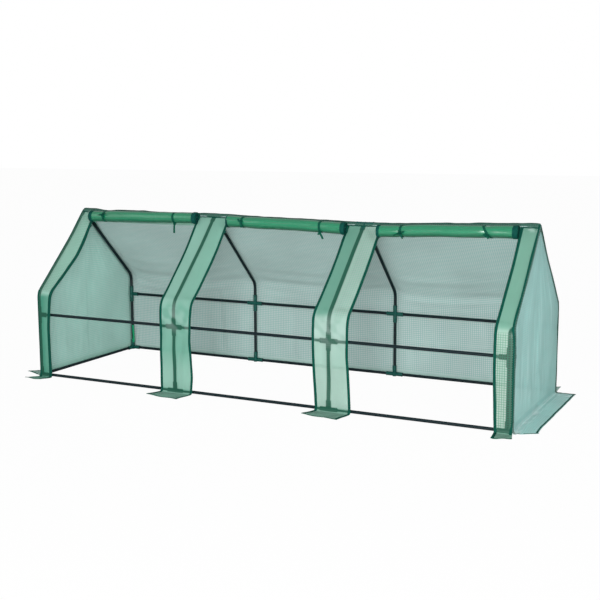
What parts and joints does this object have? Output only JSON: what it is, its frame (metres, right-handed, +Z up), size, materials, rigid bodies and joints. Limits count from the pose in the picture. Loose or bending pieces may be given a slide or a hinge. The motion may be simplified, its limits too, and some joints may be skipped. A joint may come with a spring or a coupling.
{
  "type": "plastic greenhouse",
  "caption": "Low gabled greenhouse: push-fit tube frame under a sewn woven cover with roll-up zipped doors along one side.",
  "frame": {"origin": "on the ground, below the middle of the ridge, at the middle of the length", "axes": "+X along the length, -Y towards the side with the doors, +Z up"},
  "size_m": [2.913, 1.117, 0.9128],
  "materials": {
    "tube_steel": "satin dark green powder coat",
    "connector_plastic": "satin moulded",
    "cover_cloth": "translucent woven polyethylene with a fine grid",
    "door_cloth": "rolled woven polyethylene, slight gloss",
    "zip_plastic": "satin"
  },
  "bodies": {
    "root": {"front_lower_rail_1": "tube_steel", "front_lower_rail_2": "tube_steel", "front_lower_rail_3": "tube_steel", "front_mid_rail_1": "tube_steel", "front_mid_rail_2": "tube_steel", "front_mid_rail_3": "tube_steel", "rear_lower_rail_1": "tube_steel", "rear_lower_rail_2": "tube_steel", "rear_lower_rail_3": "tube_steel", "rear_mid_rail_1": "tube_steel", "rear_mid_rail_2": "tube_steel", "rear_mid_rail_3": "tube_steel", "ridge_rail_1": "tube_steel", "ridge_rail_2": "tube_steel", "ridge_rail_3": "tube_steel", "left_base_bar": "tube_steel", "right_base_bar": "tube_steel", "front_post_1": "tube_steel", "front_post_2": "tube_steel", "front_post_3": "tube_steel", "front_post_4": "tube_steel", "rear_post_1": "tube_steel", "rear_post_2": "tube_steel", "rear_post_3": "tube_steel", "rear_post_4": "tube_steel", "front_rafter_1": "tube_steel", "front_rafter_2": "tube_steel", "front_rafter_3": "tube_steel", "front_rafter_4": "tube_steel", "rear_rafter_1": "tube_steel", "rear_rafter_2": "tube_steel", "rear_rafter_3": "tube_steel", "rear_rafter_4": "tube_steel", "front_mid_connector_1": "connector_plastic", "front_mid_connector_2": "connector_plastic", "front_mid_connector_3": "connector_plastic", "front_mid_connector_4": "connector_plastic", "rear_mid_connector_1": "connector_plastic", "rear_mid_connector_2": "connector_plastic", "rear_mid_connector_3": "connector_plastic", "rear_mid_connector_4": "connector_plastic", "rear_panel": "cover_cloth", "left_end_panel": "cover_cloth", "right_end_panel": "cover_cloth", "front_pier_1": "cover_cloth", "front_pier_2": "cover_cloth", "front_pier_3": "cover_cloth", "front_pier_4": "cover_cloth", "door_header_1": "door_cloth", "door_header_2": "door_cloth", "door_header_3": "door_cloth"},
    "door_1": {"door_roll_1": "door_cloth"},
    "door_2": {"door_roll_2": "door_cloth"},
    "door_3": {"door_roll_3": "door_cloth"},
    "slider_1": {"zip_slider_1": "zip_plastic"},
    "slider_2": {"zip_slider_2": "zip_plastic"},
    "slider_3": {"zip_slider_3": "zip_plastic"},
    "slider_4": {"zip_slider_4": "zip_plastic"},
    "slider_5": {"zip_slider_5": "zip_plastic"},
    "slider_6": {"zip_slider_6": "zip_plastic"}
  },
  "joints": [
    {"name": "door_1_unroll", "type": "hinge", "parent": "root", "child": "door_1", "pos_m": [-0.90393, 0.28361, 0.1955], "axis": [1, 0, 0], "range_deg": [0, 74.5], "deforming": ["door_header_1"]},
    {"name": "door_2_unroll", "type": "hinge", "parent": "root", "child": "door_2", "pos_m": [0, 0.28361, 0.1955], "axis": [1, 0, 0], "range_deg": [0, 74.5], "deforming": ["door_header_2"]},
    {"name": "door_3_unroll", "type": "hinge", "parent": "root", "child": "door_3", "pos_m": [0.90393, 0.28361, 0.1955], "axis": [1, 0, 0], "range_deg": [0, 74.5], "deforming": ["door_header_3"]},
    {"name": "zip_1_slide", "type": "slide", "parent": "root", "child": "slider_1", "axis": [0, -0.7187, -0.6953], "range_m": [0, 0.42]},
    {"name": "zip_2_slide", "type": "slide", "parent": "root", "child": "slider_2", "axis": [0, -0.7187, -0.6953], "range_m": [0, 0.42]},
    {"name": "zip_3_slide", "type": "slide", "parent": "root", "child": "slider_3", "axis": [0, -0.7187, -0.6953], "range_m": [0, 0.42]},
    {"name": "zip_4_slide", "type": "slide", "parent": "root", "child": "slider_4", "axis": [0, -0.7187, -0.6953], "range_m": [0, 0.42]},
    {"name": "zip_5_slide", "type": "slide", "parent": "root", "child": "slider_5", "axis": [0, -0.7187, -0.6953], "range_m": [0, 0.42]},
    {"name": "zip_6_slide", "type": "slide", "parent": "root", "child": "slider_6", "axis": [0, -0.7187, -0.6953], "range_m": [0, 0.42]}
  ]
}
